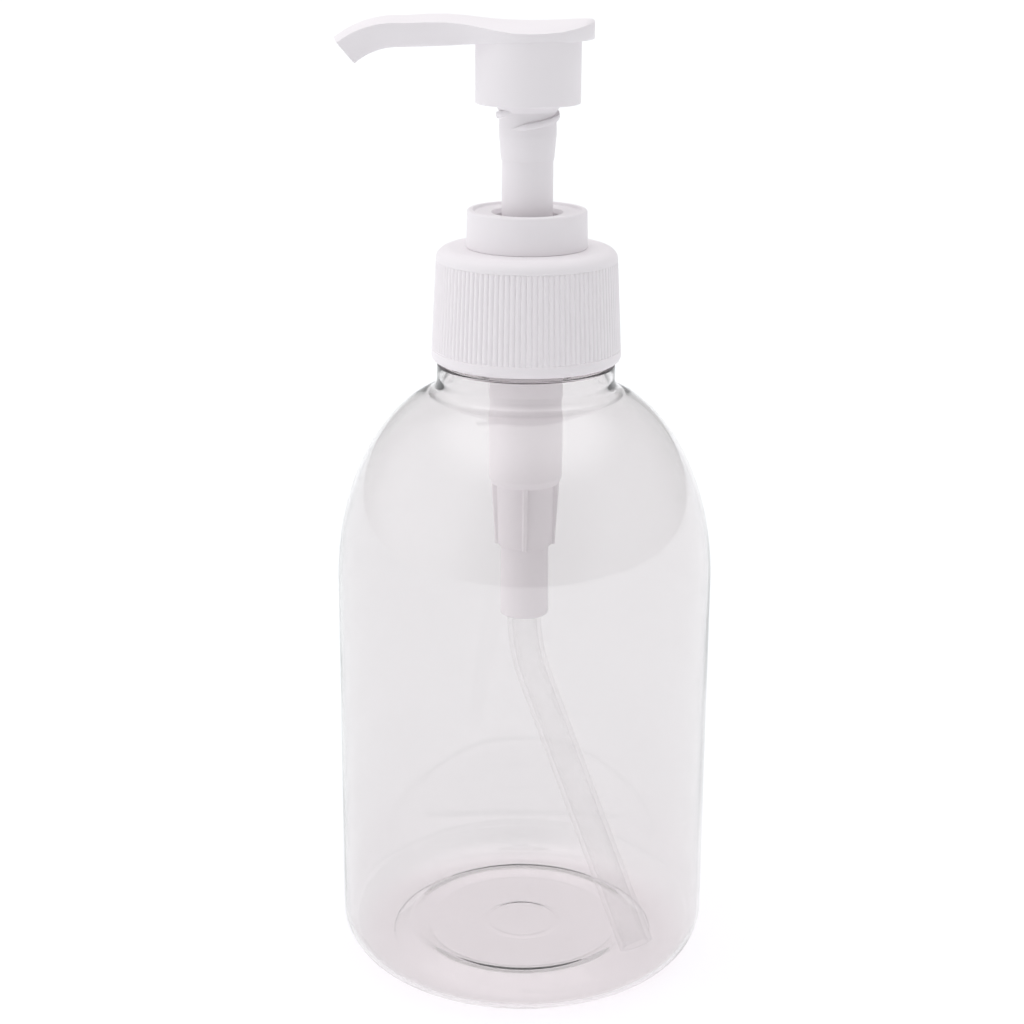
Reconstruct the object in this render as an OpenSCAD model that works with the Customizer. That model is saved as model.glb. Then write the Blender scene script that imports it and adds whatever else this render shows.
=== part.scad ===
// Soap pump dispenser: a clear round bottle with a ribbed 28 mm screw closure and a
// lock-down lotion pump. Millimetres, +Z up, origin at the centre of the bottle's base,
// spout pointing along -X.

/* [Bottle] */
// Outer diameter of the bottle's body
body_d = 65; // [60:1:68]
// Height at which the straight side ends and the shoulder begins
side_top = 69; // [66:1:72]
// Height at which the shoulder meets the neck
shoulder_top = 103; // [102:0.5:104]
// Thickness of the bottle's wall
bottle_wall = 0.8; // [0.6:0.1:1.1]
// Height of the raised floor inside the standing ring
punt_height = 2.4; // [1.5:0.1:3]
// Diameter of the neck collar that shows under the closure
neck_d = 30.3; // [29.5:0.1:30.6]
// Height of the top of the bottle's neck finish
finish_top = 123.4; // [123:0.1:123.4]

/* [Closure] */
// Diameter of the closure at its lower edge
cap_d = 32.2; // [31.5:0.1:33]
// Diameter of the closure at its top edge
cap_top_d = 30.6; // [30:0.1:31]
// Height of the closure's lower edge
cap_bottom = 108.2; // [108:0.1:109]
// Height of the closure's top face
cap_top = 127.4; // [127.4:0.1:127.6]
// Number of grip grooves around the closure
groove_count = 106; // [60:1:110]

/* [Pump] */
// Diameter of the lock collar
collar_d = 20.4; // [19:0.1:22]
// Height of the lock collar's top rim
collar_top = 133.7; // [132:0.1:134]
// Outer diameter of the pump housing
housing_d = 12.6; // [12.4:0.1:13]
// Height of the lower end of the pump housing
housing_bottom = 62.6; // [60:0.1:64]
// Outer diameter of the plunger stem
stem_d = 8.56; // [8.5:0.01:8.6]
// Height of the lower edge of the head's skirt with the pump up
head_bottom = 151.1; // [150.5:0.1:152]

/* [Head] */
// Diameter of the head's skirt
head_d = 17.4; // [17:0.1:18.1]
// Distance from the axis to the middle of the spout's mouth
spout_reach = 29.95; // [26:0.05:32]
// Angle of the spout's mouth below the horizontal
spout_droop = 40; // [30:1:45]
// Diameter of the passage through the spout
spout_bore_d = 2.8; // [2.4:0.1:2.9]

/* [Dip tube] */
// Outer diameter of the dip tube
dip_d = 6; // [5.6:0.1:6]
// Inner diameter of the dip tube
dip_bore_d = 4.4; // [4:0.1:4.8]
// Direction in which the dip tube leans, clockwise from +X seen from above
dip_heading = 38; // [0:1:180]
// Length of the dip tube below its bend
dip_length = 50; // [45:1:51]

/* [Hidden] */
$fn = 96;

full_turn = 360;
quarter_turn = 90;
overlap = 0.2;              // how far a raised feature is sunk into the wall that carries it
through = 1;                // how far a cutting solid runs past the face that it cuts
run_gap = 0.05;             // radial or axial gap of a running fit
edge_steps = 8;             // steps of a rounded edge
fine_fn = 24;               // sides of a small round section
slice_fn = 32;              // sides of a slice that a hull joins to the next
sliver = 0.01;              // least step that keeps two cuts from sharing a face

// Bottle
body_r = body_d / 2;
neck_r = neck_d / 2;
heel_w = 6.7;               // width of the heel's curve
heel_h = 7.4;               // height of the heel's curve
shoulder_spread = 1.6;      // exponents of the shoulder's curve
shoulder_rise = 2.1;
neck_top = 107.6;           // top of the wide neck below the closure
neck_wall = 1;              // its wall, and how it closes in to the finish above
neck_edge = 0.5;
neck_inner_top = 105.4;
finish_bore_foot = 107.2;
finish_r = 12.65;           // neck finish under the thread
finish_bore_r = 10.9;
finish_edge = 0.4;
foot_land = 1.2;            // slope inside the standing ring
punt_r = 22.8;              // edge of the raised floor
gate_r = 6.6;               // moulded ring around the gate
gate_step = 0.35;
base_wall = 1;
curve_steps = 18;

// Neck thread of a 28 mm bottle finish
thread_lead = 4.233;
thread_turns = 1.5;
thread_tip_r = 13.6;
thread_root_w = 2.2;
thread_tip_w = 1.1;
thread_bottom = 114.6;      // middle of the thread at its lower end

// Closure
cap_r = cap_d / 2;
cap_top_r = cap_top_d / 2;
cap_bore_r = 13.85;
cap_thread_tip_r = 12.85;
cap_thread_root_w = 1.8;
cap_thread_tip_w = 1.0;
cap_thread_heading = 60;
cap_thread_span = 420;
cap_plate = 1.6;
cap_hole_r = 7.6;
cap_edge_w = 2.3;           // rounding of the top edge, across and down
cap_edge_h = 1.9;
cap_foot_edge = 0.9;
groove_r = 0.42;
groove_depth = 0.24;
groove_low = 110.2;
groove_high = 125.3;

// Pump body
flange_r = 12.4;
flange_top = cap_top - cap_plate - 2 * run_gap;
flange_h = 1.2;
gasket_h = 1;
gasket_r = 12.5;
housing_r = housing_d / 2;
chamber_r = 5.2;
socket_r = 5.7;             // upper bore that takes the lock collar's plug
socket_depth = 13;
spring_seat = 88;           // ledge that the spring stands on
core_r = 4.7;               // housing between the fins
core_top = 86.6;
core_foot = 75.4;
core_draft = 0.2;
housing_bevel_w = 0.5;      // bevel of the wide housing above the fins
housing_bevel_h = 1.2;
seat_bevel = 1.2;           // bevel of the ledge that the spring stands on
fin_count = 4;
fin_t = 1.3;
fin_top_r = 5.9;
fin_foot_r = 5.2;
tail_r = 4.2;               // tube that takes the dip tube
dip_r = dip_d / 2;
dip_top = 74.5;
dip_gap = 0.1;
ball_bore_r = 2.9;
seat_hole_r = 1.5;
seat_low = 77.6;
seat_high = 79;
nib_count = 3;
nib_low = 83;
nib_h = 1;
nib_reach = 1;
nib_w = 0.8;
inlet_ball_r = 2.2;
ball_gap = 0.04;

// Lock collar
collar_r = collar_d / 2;
sleeve_gap = 0.08;          // radial gap between its sleeve and the closure
guide_gap = 0.07;           // radial gap between its guide and the stem
collar_foot = cap_top + run_gap;
collar_edge = 0.5;
collar_draft = 0.15;
dish_r = 9.1;
dish_depth = 0.45;
sleeve_r = cap_hole_r - sleeve_gap;
plug_r = 5.68;
plug_foot = 112.95;
collar_bore_r = 5.5;
collar_bore_foot = 125.8;
collar_mouth_r = 6;
collar_mouth_h = 0.7;
stem_r = stem_d / 2;
guide_r = stem_r + guide_gap;
bead_r = 0.25;              // snap bead that holds the plug in the housing
bead_z = 120;

// Two-start lock thread on the head and in the collar
lock_lead = 5.5;
lock_starts = 2;
lock_root_r = 4.75;
lock_tip_r = 5.25;
lock_nut_tip_r = 4.95;
lock_root_w = 1.4;
lock_tip_w = 0.7;
lock_low = 147.2;
lock_span = 200;
lock_heading = -130;        // direction in which the thread begins
lock_nut_low = 128.4;
lock_nut_span = 230;
thread_end = 0.04;          // share of its full size at which a ridge begins

// Plunger
stem_bore_r = 2.4;
stem_foot = 112.9;
stem_top = 155;
rod_r = 3;
rod_top = 121;
rod_foot = 101.5;
rod_bore_r = 1.8;
rod_tail_r = 2.9;
rod_flange_r = 4.4;
rod_flange_low = 106.2;
rod_flange_high = 107.4;
piston_r = chamber_r - run_gap;
piston_waist_r = 4.5;
piston_low = 107.5;
piston_high = 112.85;
piston_lip_h = 1.3;
lip_edge_w = 0.3;
lip_edge_h = 0.2;
lip_back_h = 0.5;
rod_gap = 0.1;
outlet_ball_r = 2.1;
outlet_seat_low = 150;
outlet_hole_r = 1.6;
outlet_bore_r = 2.6;
outlet_throat_h = 3;
stop_low = 155.1;
stop_h = 1;                 // height of the nibs that stop the ball

// Spring
wire_d = 0.7;
spring_r = 4.3;
spring_turns = 6;
closed_pitch = 1.04;        // pitch of a closed end turn, in wire diameters
spring_foot = spring_seat + run_gap;
spring_head = rod_flange_low - run_gap;
wire_sides = 8;
turn_steps = 18;

// Head
head_r = head_d / 2;
skirt_wall = 1.2;
cavity_top = 159.6;
neck_low = 141.9;           // lower end of the head's threaded neck
neck_taper_top = 146;
neck_foot_r = 4.4;
neck_flare_r = 5.35;
neck_flare_low = 149.8;
neck_flare_h = 1;
plate_low = 161.2;
plate_high = 168;
saddle_z = 164.5;           // lowest point of the saddle's crest
saddle_bend_r = 80;         // curve of the crest along the spout
saddle_crown_r = 22;        // curve of the saddle across the spout
saddle_fn = 180;
plate_r = 9.1;
thumb_x = 8.9;
thumb_r = 2;
spout_axis_z = 162.9;
spout_bend_r = 14.4;
spout_bend_x = spout_reach - spout_bend_r * sin(spout_droop);
spout_root_x = 9;
spout_root_r = 4.6;
spout_neck_run = 7;         // distance between the spout's first two slices
spout_sizes = [[5, 2.4], [4.1, 2.55], [3.6, 2.45], [3.2, 2.55], [2.9, 2.7]];    // half-width, half-height
spout_drop = 0.1;           // how far some slices sit below the spout's axis
spout_sunk = 1;             // how far the first slice starts inside the plate's end
slice_t = 0.1;              // thickness of a slice
passage_z = 162.4;          // height of the passage where it leaves the stem
passage_leg = 3;            // length of the passage's last leg
leg_past = 0.3;             // how far its legs run past their meeting points

// Dip tube
dip_bend_r = 25;
dip_bend = 27;
dip_free = 62;              // height at which the tube starts to bend
dip_sides = 20;
dip_bend_steps = 8;

// ---------- shared shapes ----------

// Points along an ellipse around c, w wide and h high to each side, from angle a0 to a1
function arc_points(c, w, h, a0, a1, steps = curve_steps) =
    [for (i = [0 : steps]) let (a = a0 + (a1 - a0) * i / steps) [c[0] + w * cos(a), c[1] + h * sin(a)]];

// The solid of revolution between two radii and two heights
module ring(r_out, r_in, low, high) {
    translate([0, 0, low])
        difference() {
            cylinder(r = r_out, h = high - low);
            translate([0, 0, -through]) cylinder(r = r_in, h = high - low + 2 * through);
        }
}

// A cylinder standing between two heights
module post(r, low, high) {
    translate([0, 0, low]) cylinder(r = r, h = high - low);
}

// A cone frustum standing between two heights
module taper(r_low, r_high, low, high) {
    translate([0, 0, low]) cylinder(r1 = r_low, r2 = r_high, h = high - low);
}

// Skin of a tube of rings with n points each, closed at both ends
function tube_faces(rings, n) = concat(
    [[for (j = [0 : n - 1]) j]],
    [[for (j = [n - 1 : -1 : 0]) (rings - 1) * n + j]],
    [for (i = [0 : rings - 2], j = [0 : n - 1])
        [i * n + j, (i + 1) * n + j, (i + 1) * n + (j + 1) % n]],
    [for (i = [0 : rings - 2], j = [0 : n - 1])
        [i * n + j, (i + 1) * n + (j + 1) % n, i * n + (j + 1) % n]]
);

// A helical thread ridge. It fades in and out over fade degrees at its ends.
module thread_ridge(root_r, tip_r, root_w, tip_w, lead, low, heading, span, fade = 40, step = 10) {
    rings = ceil(span / step) + 1;
    into = (tip_r > root_r) ? -overlap : overlap;
    points = [for (i = [0 : rings - 1])
        let (
            a = span * i / (rings - 1),
            k = max(thread_end, min(1, a / fade, (span - a) / fade)),
            tip = root_r + (tip_r - root_r) * k,
            z = low + lead * a / full_turn,
            section = [
                [root_r + into, -root_w * k / 2],
                [tip, -tip_w * k / 2],
                [tip, tip_w * k / 2],
                [root_r + into, root_w * k / 2]
            ]
        )
        for (p = section) [p[0] * cos(a + heading), p[0] * sin(a + heading), z + p[1]]];
    faces = tube_faces(rings, 4);
    flip = tip_r > root_r;
    polyhedron(points, flip ? [for (f = faces) [for (j = [len(f) - 1 : -1 : 0]) f[j]]] : faces);
}

// ---------- bottle ----------

function shoulder_points(r_side, r_neck, low, high) =
    [for (i = [0 : curve_steps])
        let (a = quarter_turn * i / curve_steps)
        [r_neck + (r_side - r_neck) * pow(cos(a), 2 / shoulder_spread),
         low + (high - low) * pow(sin(a), 2 / shoulder_rise)]];

module bottle_profile() {
    inner_r = body_r - bottle_wall;
    outer = concat(
        [
            [0, punt_height],
            [gate_r - gate_step, punt_height],
            [gate_r, punt_height - gate_step],
            [punt_r, punt_height - 2 * gate_step],
            [body_r - heel_w - foot_land, 0]
        ],
        arc_points([body_r - heel_w, heel_h], heel_w, heel_h, -quarter_turn, 0),
        shoulder_points(body_r, neck_r, side_top, shoulder_top),
        [
            [neck_r, neck_top - neck_edge],
            [neck_r - neck_edge, neck_top],
            [finish_r, neck_top],
            [finish_r, finish_top - finish_edge],
            [finish_r - finish_edge, finish_top]
        ]
    );
    inner = concat(
        [
            [finish_bore_r, finish_top],
            [finish_bore_r, finish_bore_foot],
            [neck_r - neck_wall, neck_inner_top]
        ],
        [for (i = [curve_steps : -1 : 0])
            shoulder_points(inner_r, neck_r - neck_wall, side_top, shoulder_top - bottle_wall)[i]],
        arc_points([body_r - heel_w, heel_h], heel_w - bottle_wall, heel_h - base_wall, 0, -quarter_turn),
        [
            [punt_r, punt_height + base_wall - 2 * gate_step],
            [0, punt_height + base_wall]
        ]
    );
    polygon(concat(outer, inner));
}

module bottle() {
    color([0.9, 0.93, 0.95, 0.4]) {
        rotate_extrude() bottle_profile();
        thread_ridge(finish_r, thread_tip_r, thread_root_w, thread_tip_w, thread_lead,
                     thread_bottom, 0, thread_turns * full_turn);
    }
}

// ---------- closure ----------

module cap_shell() {
    rotate_extrude()
        polygon(concat(
            [[cap_bore_r, cap_bottom]],
            arc_points([cap_r - cap_foot_edge, cap_bottom + cap_foot_edge],
                       cap_foot_edge, cap_foot_edge, -quarter_turn, 0, edge_steps),
            arc_points([cap_top_r - cap_edge_w, cap_top - cap_edge_h], cap_edge_w, cap_edge_h, 0, quarter_turn,
                       edge_steps),
            [[cap_hole_r, cap_top], [cap_hole_r, cap_top - cap_plate], [cap_bore_r, cap_top - cap_plate]]
        ));
}

module cap_grooves() {
    wall_low = cap_bottom + cap_foot_edge;
    wall_high = cap_top - cap_edge_h;
    slope = (cap_r - cap_top_r) / (wall_high - wall_low);
    lean = atan(slope);
    r_low = cap_r - slope * (groove_low - wall_low) + groove_r - groove_depth;
    for (i = [0 : groove_count - 1])
        rotate([0, 0, i * full_turn / groove_count])
            translate([r_low, 0, groove_low])
                rotate([0, -lean, 0])
                    cylinder(r = groove_r, h = groove_high - groove_low, $fn = fine_fn);
}

module closure_cap() {
    color("white") {
        difference() {
            cap_shell();
            cap_grooves();
        }
        thread_ridge(cap_bore_r, cap_thread_tip_r, cap_thread_root_w, cap_thread_tip_w, thread_lead,
                     thread_bottom - thread_lead / 2 + thread_lead * cap_thread_heading / full_turn,
                     cap_thread_heading, cap_thread_span);
    }
}

// ---------- pump body ----------

module gasket() {
    color([0.95, 0.95, 0.93])
        ring(gasket_r, housing_r + run_gap, finish_top + run_gap, flange_top - flange_h);
}

module collar_bore() {
    post(collar_bore_r, collar_bore_foot, collar_top + through);
    taper(collar_bore_r, collar_mouth_r, collar_top - dish_depth - collar_mouth_h, collar_top - dish_depth);
    post(guide_r, plug_foot - through, collar_bore_foot + through);
}

module collar_thread() {
    for (i = [0 : lock_starts - 1])
        thread_ridge(collar_bore_r, lock_nut_tip_r, lock_root_w, lock_tip_w, lock_lead,
                     lock_nut_low, i * full_turn / lock_starts, lock_nut_span);
}

module lock_collar() {
    color("white") {
        difference() {
            union() {
                rotate_extrude()
                    polygon(concat(
                        [[0, collar_foot], [collar_r, collar_foot]],
                        arc_points([collar_r - collar_draft - collar_edge, collar_top - collar_edge],
                                   collar_edge, collar_edge, 0, quarter_turn, edge_steps),
                        [[dish_r, collar_top], [dish_r - dish_depth, collar_top - dish_depth],
                         [0, collar_top - dish_depth]]
                    ));
                post(sleeve_r, flange_top, collar_foot + overlap);
                post(plug_r, plug_foot, flange_top + overlap);
                translate([0, 0, bead_z])
                    rotate_extrude() translate([plug_r, 0]) circle(r = bead_r, $fn = fine_fn);
            }
            collar_bore();
        }
        collar_thread();
    }
}

module housing_shell() {
    ring(flange_r, socket_r, flange_top - flange_h, flange_top);
    post(housing_r, core_top + housing_bevel_h, flange_top - flange_h + overlap);
    taper(housing_r - housing_bevel_w, housing_r, core_top, core_top + housing_bevel_h);
    taper(core_r, core_r + core_draft, core_foot, core_top + overlap);
    post(tail_r, housing_bottom, core_foot + overlap);
    for (i = [0 : fin_count - 1])
        rotate([quarter_turn, 0, i * full_turn / fin_count])
            translate([0, 0, -fin_t / 2])
                linear_extrude(fin_t)
                    polygon([[0, core_foot], [fin_foot_r, core_foot], [fin_top_r, core_top + overlap],
                             [0, core_top + overlap]]);
}

module housing_bore() {
    post(socket_r, flange_top - socket_depth, flange_top + through);
    post(chamber_r, spring_seat, flange_top);
    taper(ball_bore_r, chamber_r - seat_bevel, spring_seat - seat_bevel, spring_seat + sliver);
    post(ball_bore_r, seat_high, spring_seat);
    taper(seat_hole_r, ball_bore_r, seat_low, seat_high);
    post(seat_hole_r, dip_top - through, seat_high);
    post(dip_r, housing_bottom - through, dip_top + dip_gap);
    translate([0, 0, bead_z])
        rotate_extrude() translate([plug_r, 0]) circle(r = bead_r + run_gap, $fn = fine_fn);
}

module ball_nibs(bore_r, low) {
    for (i = [0 : nib_count - 1])
        rotate([0, 0, i * full_turn / nib_count])
            translate([bore_r - nib_reach, -nib_w / 2, low]) cube([nib_reach + overlap, nib_w, nib_h]);
}

module pump_housing() {
    color([0.94, 0.95, 0.96]) {
        difference() {
            housing_shell();
            housing_bore();
        }
        ball_nibs(ball_bore_r, nib_low);
    }
}

// A ball resting on a 45 degree seat that opens upward from hole_r at height low
module seated_ball(r, hole_r, low) {
    translate([0, 0, low - hole_r + r * sqrt(2) + ball_gap]) sphere(r = r);
}

module inlet_ball() {
    color("silver") seated_ball(inlet_ball_r, seat_hole_r, seat_low);
}

module outlet_ball() {
    color("silver") seated_ball(outlet_ball_r, outlet_hole_r, outlet_seat_low);
}

// Height of the coil's wire after t turns: one closed turn at each end, open turns between
function coil_z(t) =
    let (
        closed = wire_d * closed_pitch,
        low = spring_foot + wire_d / 2,
        high = spring_head - wire_d / 2,
        open = (high - low - 2 * closed) / (spring_turns - 2)
    )
    t < 1 ? low + closed * t
    : t > spring_turns - 1 ? high - closed * (spring_turns - t)
    : low + closed + open * (t - 1);

module spring() {
    rings = spring_turns * turn_steps + 1;
    points = [for (i = [0 : rings - 1])
        let (t = i / turn_steps, a = t * full_turn)
        for (j = [0 : wire_sides - 1])
            let (b = j * full_turn / wire_sides, r = spring_r + wire_d / 2 * cos(b))
            [r * cos(a), r * sin(a), coil_z(t) + wire_d / 2 * sin(b)]];
    color([0.7, 0.72, 0.75]) polyhedron(points, tube_faces(rings, wire_sides));
}

// ---------- plunger ----------

module piston() {
    color([0.9, 0.92, 0.95])
        rotate_extrude()
            polygon([
                [rod_r + run_gap, piston_low],
                [piston_waist_r, piston_low],
                [piston_r - lip_edge_w, piston_low],
                [piston_r, piston_low + lip_edge_h],
                [piston_r, piston_low + piston_lip_h],
                [piston_waist_r, piston_low + piston_lip_h + lip_back_h],
                [piston_waist_r, piston_high - piston_lip_h - lip_back_h],
                [piston_r, piston_high - piston_lip_h],
                [piston_r, piston_high - lip_edge_h],
                [piston_r - lip_edge_w, piston_high],
                [rod_r + run_gap, piston_high]
            ]);
}

module piston_rod() {
    color("white")
        difference() {
            union() {
                post(rod_r, rod_flange_high - overlap, rod_top);
                post(rod_flange_r, rod_flange_low, rod_flange_high);
                post(rod_tail_r, rod_foot, rod_flange_low + overlap);
            }
            post(rod_bore_r, rod_foot - through, rod_top + through);
        }
}

module stem() {
    color("white")
        difference() {
            post(stem_r, stem_foot, stem_top);
            post(rod_r, stem_foot - through, rod_top + rod_gap);
            post(stem_bore_r, rod_top, outlet_seat_low - outlet_throat_h);
            post(outlet_hole_r, rod_top, outlet_seat_low + overlap);
            taper(outlet_hole_r, outlet_bore_r, outlet_seat_low,
                  outlet_seat_low + outlet_bore_r - outlet_hole_r);
            post(outlet_bore_r, outlet_seat_low + outlet_bore_r - outlet_hole_r, stem_top + through);
        }
}

// ---------- head ----------

module head_skirt() {
    ring(head_r, head_r - skirt_wall, head_bottom, cavity_top + overlap);
    post(head_r, cavity_top, plate_low + overlap);
}

module head_neck() {
    taper(neck_foot_r, lock_root_r, neck_low, neck_taper_top);
    post(lock_root_r, neck_taper_top, cavity_top + overlap);
    taper(lock_root_r, neck_flare_r, neck_flare_low, neck_flare_low + neck_flare_h);
    post(neck_flare_r, neck_flare_low + neck_flare_h, cavity_top + overlap);
    for (i = [0 : lock_starts - 1])
        thread_ridge(lock_root_r, lock_tip_r, lock_root_w, lock_tip_w, lock_lead,
                     lock_low, lock_heading + i * full_turn / lock_starts, lock_span);
}

// The thumb plate from above: a disc drawn out to the thumb's end and to the root of the spout
module plate_outline() {
    thumb_a = acos((plate_r - thumb_r) / thumb_x);
    root_a = full_turn / 2 - acos((plate_r - spout_root_r) / spout_root_x);
    polygon(concat(
        arc_points([thumb_x, 0], thumb_r, thumb_r, -thumb_a, thumb_a, edge_steps),
        arc_points([0, 0], plate_r, plate_r, thumb_a, root_a, edge_steps),
        arc_points([-spout_root_x, 0], spout_root_r, spout_root_r, root_a, full_turn - root_a, edge_steps),
        arc_points([0, 0], plate_r, plate_r, full_turn - root_a, full_turn - thumb_a, edge_steps)
    ));
}

// Thumb plate: convex across the spout, concave along it
module saddle_plate() {
    intersection() {
        translate([0, 0, plate_low]) linear_extrude(plate_high - plate_low) plate_outline();
        translate([0, 0, saddle_z + saddle_bend_r])
            rotate([quarter_turn, 0, 0])
                rotate_extrude($fn = saddle_fn)
                    translate([saddle_bend_r + saddle_crown_r, 0]) circle(r = saddle_crown_r);
    }
}

// One upright oval slice of the spout, turned with the spout's path
module spout_slice(x, z, droop, half_w, half_h) {
    translate([x, 0, z])
        rotate([0, -quarter_turn - droop, 0])
            scale([half_h / half_w, 1, 1])
                cylinder(r = half_w, h = slice_t, center = true, $fn = slice_fn);
}

module spout_body() {
    mid = spout_droop / 2;
    // [x, z, droop] of each slice, from the root to the mouth
    places = [
        [spout_sunk - spout_root_x, spout_axis_z - spout_drop, 0],
        [spout_sunk - spout_root_x - spout_neck_run, spout_axis_z, 0],
        [-spout_bend_x, spout_axis_z - spout_drop, 0],
        [-spout_bend_x - spout_bend_r * sin(mid), spout_axis_z - spout_bend_r * (1 - cos(mid)), mid],
        [-spout_reach, spout_axis_z - spout_bend_r * (1 - cos(spout_droop)), spout_droop]
    ];
    for (i = [0 : len(places) - 2])
        hull()
            for (j = [i, i + 1])
                spout_slice(places[j][0], places[j][1], places[j][2], spout_sizes[j][0], spout_sizes[j][1]);
}

// A round bar from p to q, both [x, z] in the plane of the spout, run past both ends
module spout_bar(p, q, r, past) {
    run = q - p;
    translate([p[0], 0, p[1]])
        rotate([0, atan2(run[0], run[1]), 0])
            translate([0, 0, -past]) cylinder(r = r, h = norm(run) + 2 * past);
}

// The passage from the stem to the spout's mouth: straight bores that meet at shallow angles
module head_passage() {
    bore_r = spout_bore_d / 2;
    mid = spout_droop / 2;
    mouth = [-spout_reach, spout_axis_z - spout_bend_r * (1 - cos(spout_droop))];
    knee = mouth + passage_leg * [cos(spout_droop), sin(spout_droop)];
    hip = [knee[0] + (passage_z - knee[1]) / tan(mid), passage_z];
    post(stem_r, neck_low - through, stem_top + run_gap);
    post(outlet_bore_r, stem_top, stop_low + 2 * stop_h);
    post(bore_r, stop_low + stop_h, passage_z);
    spout_bar([0, passage_z], hip, bore_r, leg_past);
    spout_bar(hip, knee, bore_r, leg_past);
    spout_bar(knee, mouth, bore_r, through);
}

module actuator_head() {
    color("white") {
        difference() {
            union() {
                head_skirt();
                head_neck();
                saddle_plate();
                spout_body();
            }
            head_passage();
        }
        ball_nibs(outlet_bore_r, stop_low);
    }
}

// ---------- dip tube ----------

// Angle of the tube's route from the vertical, distance from the axis and height, for each ring
dip_route = concat(
    [[0, 0, dip_top]],
    [for (i = [0 : dip_bend_steps])
        let (a = dip_bend * i / dip_bend_steps)
        [a, dip_bend_r * (1 - cos(a)), dip_free - dip_bend_r * sin(a)]],
    [[dip_bend,
      dip_bend_r * (1 - cos(dip_bend)) + dip_length * sin(dip_bend),
      dip_free - dip_bend_r * sin(dip_bend) - dip_length * cos(dip_bend)]]
);

function dip_skin(r) = [for (p = dip_route, j = [0 : dip_sides - 1])
    let (b = j * full_turn / dip_sides)
    [p[1] + r * cos(b) * cos(p[0]), r * sin(b), p[2] + r * cos(b) * sin(p[0])]];

// Faces of a pipe: the outer skin's rings come first, then the inner skin's
function pipe_faces(rings, n) =
    let (inner = rings * n, last = (rings - 1) * n)
    concat(
        [for (i = [0 : rings - 2], j = [0 : n - 1])
            [(i + 1) * n + j, i * n + j, i * n + (j + 1) % n, (i + 1) * n + (j + 1) % n]],
        [for (i = [0 : rings - 2], j = [0 : n - 1])
            [inner + i * n + j, inner + (i + 1) * n + j, inner + (i + 1) * n + (j + 1) % n,
             inner + i * n + (j + 1) % n]],
        [for (j = [0 : n - 1]) [j, inner + j, inner + (j + 1) % n, (j + 1) % n]],
        [for (j = [0 : n - 1])
            [last + (j + 1) % n, inner + last + (j + 1) % n, inner + last + j, last + j]]
    );

module dip_tube() {
    color([0.93, 0.95, 0.97, 0.7])
        rotate([0, 0, -dip_heading])
            polyhedron(concat(dip_skin(dip_r), dip_skin(dip_bore_d / 2)),
                       pipe_faces(len(dip_route), dip_sides));
}

bottle();
closure_cap();
gasket();
lock_collar();
pump_housing();
inlet_ball();
spring();
piston();
piston_rod();
stem();
outlet_ball();
actuator_head();
dip_tube();
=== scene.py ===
from math import acos, atan2, cos, hypot, pi, radians, sin, sqrt, tan

import bpy
from mathutils import Matrix, Vector


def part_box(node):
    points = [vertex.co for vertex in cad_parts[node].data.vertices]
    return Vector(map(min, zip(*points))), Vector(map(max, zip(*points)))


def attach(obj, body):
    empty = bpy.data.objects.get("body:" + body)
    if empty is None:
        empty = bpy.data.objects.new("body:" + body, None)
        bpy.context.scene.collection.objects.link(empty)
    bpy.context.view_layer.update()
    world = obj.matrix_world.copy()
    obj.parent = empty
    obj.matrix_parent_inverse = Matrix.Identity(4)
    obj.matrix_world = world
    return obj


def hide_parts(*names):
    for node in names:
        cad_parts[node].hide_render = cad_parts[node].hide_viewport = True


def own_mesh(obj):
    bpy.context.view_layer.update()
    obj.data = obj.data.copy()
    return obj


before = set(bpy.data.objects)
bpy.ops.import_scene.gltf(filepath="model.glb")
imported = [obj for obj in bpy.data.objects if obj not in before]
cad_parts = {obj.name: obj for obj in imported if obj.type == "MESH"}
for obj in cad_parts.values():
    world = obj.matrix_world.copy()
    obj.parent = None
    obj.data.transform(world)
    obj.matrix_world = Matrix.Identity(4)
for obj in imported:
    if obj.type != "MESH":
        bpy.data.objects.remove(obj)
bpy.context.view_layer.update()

MM = 0.001
FULL_TURN = 2 * pi
ROUND = 192                     # segments of a lathed piece
CREASE = radians(38)            # edges sharper than this stay sharp
TINY = 1e-9                     # a side shorter than this has no direction
AXIS_R = 1e-6                   # a point nearer the axis than this is on it


# ---------- the frame's own places, in millimetres ----------

def low(node):
    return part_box(node)[0] / MM


def high(node):
    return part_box(node)[1] / MM


body_r = high("bottle").x
finish_top = high("bottle").z
cap_low = low("closure_cap").z
cap_high = high("closure_cap").z
cap_r = high("closure_cap").x
collar_r = high("lock_collar").x
collar_high = high("lock_collar").z
plug_low = low("lock_collar").z
stem_r = high("stem").x
stem_low = low("stem").z
stem_high = high("stem").z
neck_low = low("actuator_head").z
housing_low = low("pump_housing").z
housing_high = high("pump_housing").z
flange_r = high("pump_housing").x
piston_low = low("piston").z
piston_high = high("piston").z
rod_low = low("piston_rod").z
rod_high = high("piston_rod").z
spring_low = low("spring").z
spring_high = high("spring").z


# ---------- outlines ----------

def arc(cx, cz, w, h, a0, a1, steps):
    """Points of an elliptical arc round (cx, cz), angles in degrees."""
    turns = [radians(a0 + (a1 - a0) * i / steps) for i in range(steps + 1)]
    return [(cx + w * cos(a), cz + h * sin(a)) for a in turns]


CORNER_SHARE = 0.49             # the most of a side that the rounding of one corner may use
ALMOST_STRAIGHT = radians(89.5)  # half the angle of a corner too flat to round


def bend_point(start, corner, end, t):
    """The point at t, from 0 to 1, of a curve from start to end that is drawn towards the corner."""
    point = start * (1 - t) ** 2 + corner * 2 * t * (1 - t) + end * t ** 2
    return point.x, point.y


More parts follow.
